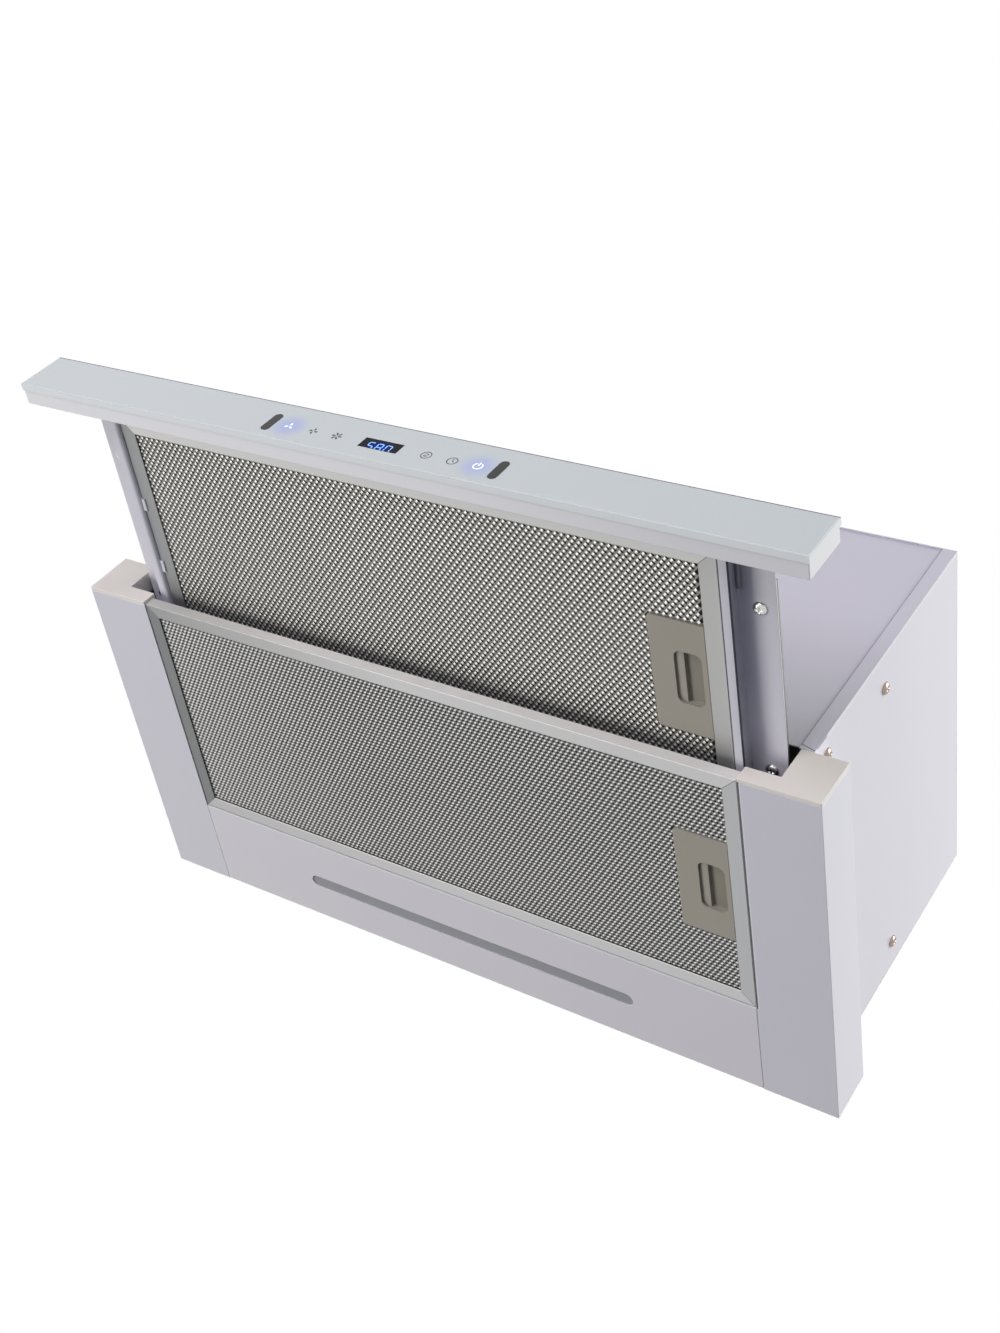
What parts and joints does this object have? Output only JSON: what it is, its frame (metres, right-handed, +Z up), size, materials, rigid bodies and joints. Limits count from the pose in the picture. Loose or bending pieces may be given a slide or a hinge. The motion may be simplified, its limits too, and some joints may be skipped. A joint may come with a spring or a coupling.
{
  "type": "pull-out range hood",
  "caption": "Built-in pull-out range hood: glass-fronted drawer on ball slides, mesh grease filters with finger latches, lamp panel, blower and top duct collar.",
  "frame": {"origin": "on the wall face of the rear panel, in the middle of the four fixing holes", "axes": "+Z up, +Y towards the wall, -Y the drawer's front, +X to the right seen from the front"},
  "size_m": [0.598, 0.4586, 0.308],
  "materials": {
    "white_paint": "glossy white powder coat",
    "cap_plastic": "warm white moulded plastic",
    "strip_glass": "back-painted tempered glass",
    "frame_aluminium": "satin anodised",
    "mesh_aluminium": "expanded mesh layers",
    "latch_plastic": "grey beige moulded plastic",
    "zinc_steel": "zinc plated",
    "screw_steel": "nickel plated",
    "ball_steel": "polished",
    "black_plastic": "glossy black",
    "grey_plastic": "moulded grey",
    "board_green": "lacquered circuit board",
    "diffuser_plastic": "frosted",
    "led_plastic": "phosphor face",
    "motor_paint": "dipped grey",
    "cable_rubber": "black sheath"
  },
  "bodies": {
    "housing": {"side_panel_left": "white_paint", "side_panel_right": "white_paint", "front_panel": "white_paint", "rear_panel": "white_paint", "top_panel": "white_paint", "side_profile_left": "white_paint", "side_profile_right": "white_paint", "lamp_panel": "white_paint", "end_cap_left": "cap_plastic", "end_cap_right": "cap_plastic", "rear_filter_frame": "frame_aluminium", "rear_filter_mesh": "mesh_aluminium", "rear_latch_case": "latch_plastic", "front_brace": "zinc_steel", "rear_brace": "zinc_steel", "slide_outer_left": "zinc_steel", "slide_outer_right": "zinc_steel", "motor_bracket": "zinc_steel", "flap_pins": "zinc_steel", "side_screws": "screw_steel", "mains_gland": "black_plastic", "outlet_collar": "black_plastic", "blower_scroll_left": "grey_plastic", "blower_scroll_right": "grey_plastic", "control_box": "grey_plastic", "control_box_lid": "grey_plastic", "led_board": "board_green", "control_board": "board_green", "lamp_diffuser": "diffuser_plastic", "led_chips": "led_plastic", "motor_body": "motor_paint", "capacitor": "motor_paint"},
    "drawer": {"strip_body": "white_paint", "front_glass": "strip_glass", "sensor_windows": "black_plastic", "display_module": "black_plastic", "touch_board": "board_green", "drawer_arm_left": "white_paint", "drawer_arm_right": "white_paint", "slide_inner_left": "zinc_steel", "slide_inner_right": "zinc_steel", "drawer_rear_rail": "white_paint", "arm_screws": "screw_steel", "control_cable": "cable_rubber", "drawer_filter_frame": "frame_aluminium", "drawer_filter_mesh": "mesh_aluminium", "drawer_latch_case": "latch_plastic"},
    "drawer_latch": {"drawer_latch_slider": "latch_plastic"},
    "rear_latch": {"rear_latch_slider": "latch_plastic"},
    "cage_left": {"slide_cage_left": "ball_steel"},
    "cage_right": {"slide_cage_right": "ball_steel"},
    "fan_wheel": {"impeller": "grey_plastic", "motor_shaft": "zinc_steel"},
    "flap_front": {"front_flap": "black_plastic"},
    "flap_rear": {"rear_flap": "black_plastic"}
  },
  "joints": [
    {"name": "drawer_slide", "type": "slide", "parent": "housing", "child": "drawer", "axis": [0, -1, 0], "range_m": [-0.159, 0]},
    {"name": "cage_left_roll", "type": "slide", "parent": "housing", "child": "cage_left", "axis": [0, -1, 0], "range_m": [-0.0795, 0]},
    {"name": "cage_right_roll", "type": "slide", "parent": "housing", "child": "cage_right", "axis": [0, -1, 0], "range_m": [-0.0795, 0]},
    {"name": "drawer_latch_slide", "type": "slide", "parent": "drawer", "child": "drawer_latch", "axis": [-1, 0, 0], "range_m": [0, 0.005], "stiffness_N_per_m": 400, "springref_m": -0.003},
    {"name": "rear_latch_slide", "type": "slide", "parent": "housing", "child": "rear_latch", "axis": [-1, 0, 0], "range_m": [0, 0.005], "stiffness_N_per_m": 400, "springref_m": -0.003},
    {"name": "fan_spin", "type": "hinge", "parent": "housing", "child": "fan_wheel", "pos_m": [0, -0.168, -0.0565], "axis": [1, 0, 0], "continuous": true},
    {"name": "flap_front_lift", "type": "hinge", "parent": "housing", "child": "flap_front", "pos_m": [0, -0.131, 0.0748], "axis": [-1, 0, 0], "range_deg": [0, 80]},
    {"name": "flap_rear_lift", "type": "hinge", "parent": "housing", "child": "flap_rear", "pos_m": [0, -0.125, 0.0748], "axis": [1, 0, 0], "range_deg": [0, 80]}
  ],
  "couplings": [
    {"joint": "cage_left_roll", "follows": "drawer_slide", "ratio": 0.5},
    {"joint": "cage_right_roll", "follows": "drawer_slide", "ratio": 0.5}
  ]
}
